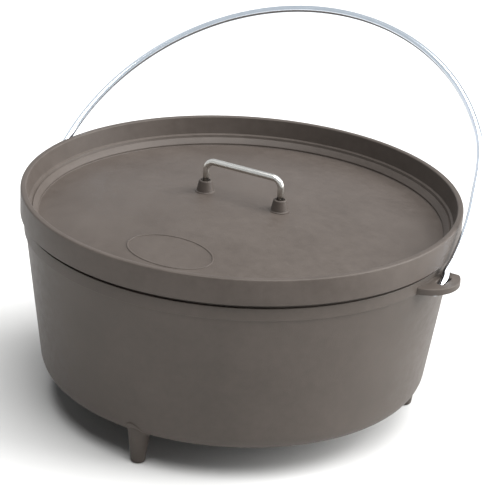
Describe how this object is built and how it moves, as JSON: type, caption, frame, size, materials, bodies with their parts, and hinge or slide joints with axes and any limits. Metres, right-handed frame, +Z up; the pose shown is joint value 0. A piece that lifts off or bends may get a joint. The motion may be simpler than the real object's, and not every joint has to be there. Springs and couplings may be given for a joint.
{
  "type": "cast iron dutch oven",
  "caption": "Round cast camp oven with a flanged, domed lid, tapered side wall, stub feet, a swinging wire bail and a bent rod handle on the lid.",
  "frame": {"origin": "on the pot's axis, on the plane of the three foot tips", "axes": "+Z up along the pot's axis, +X through the right ear, +Y to the back, the side the bail leans to at rest"},
  "size_m": [0.36, 0.33, 0.2712],
  "materials": {
    "pot": "fine blasted casting, matt warm grey-brown",
    "lid": "fine blasted casting, matt warm grey-brown",
    "bail": "bright plated drawn wire",
    "lid_handle": "satin plated rod",
    "handle_pins": "plain rolled pin"
  },
  "bodies": {
    "pot": {"pot": "pot"},
    "lid": {"lid": "lid", "lid_handle": "lid_handle", "handle_pins": "handle_pins"},
    "bail": {"bail": "bail"}
  },
  "joints": [
    {"name": "lid_lift", "type": "slide", "parent": "pot", "child": "lid", "axis": [0, 0, 1], "range_m": [0, 0.06]},
    {"name": "bail_swing", "type": "hinge", "parent": "pot", "child": "bail", "pos_m": [0, 0, 0.1387], "axis": [1, 0, 0], "range_deg": [0, 100]}
  ]
}
